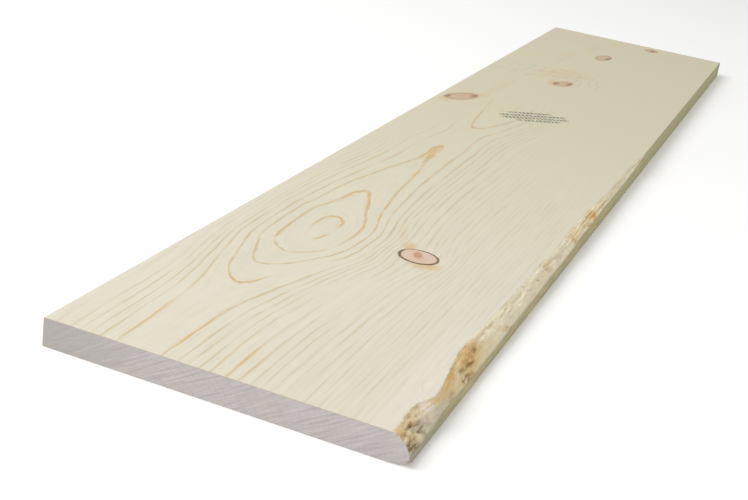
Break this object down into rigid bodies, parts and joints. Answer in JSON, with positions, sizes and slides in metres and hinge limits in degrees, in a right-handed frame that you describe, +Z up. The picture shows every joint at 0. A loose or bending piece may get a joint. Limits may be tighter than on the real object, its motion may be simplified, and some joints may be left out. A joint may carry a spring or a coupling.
{
  "type": "softwood board",
  "caption": "Long flat sawn softwood board, rectangular in section, with a natural waney edge along part of one upper arris.",
  "frame": {"origin": "middle of the lower wide face, on the surface that the board lies on", "axes": "+X along the length away from the waney end, +Y across the width towards the full square edge, +Z up from the lower wide face"},
  "size_m": [1.219, 0.235, 0.019],
  "materials": {
    "pine": "bare, unfinished, smooth-sawn pale pine"
  },
  "bodies": {
    "root": {"board": "pine"}
  },
  "joints": []
}
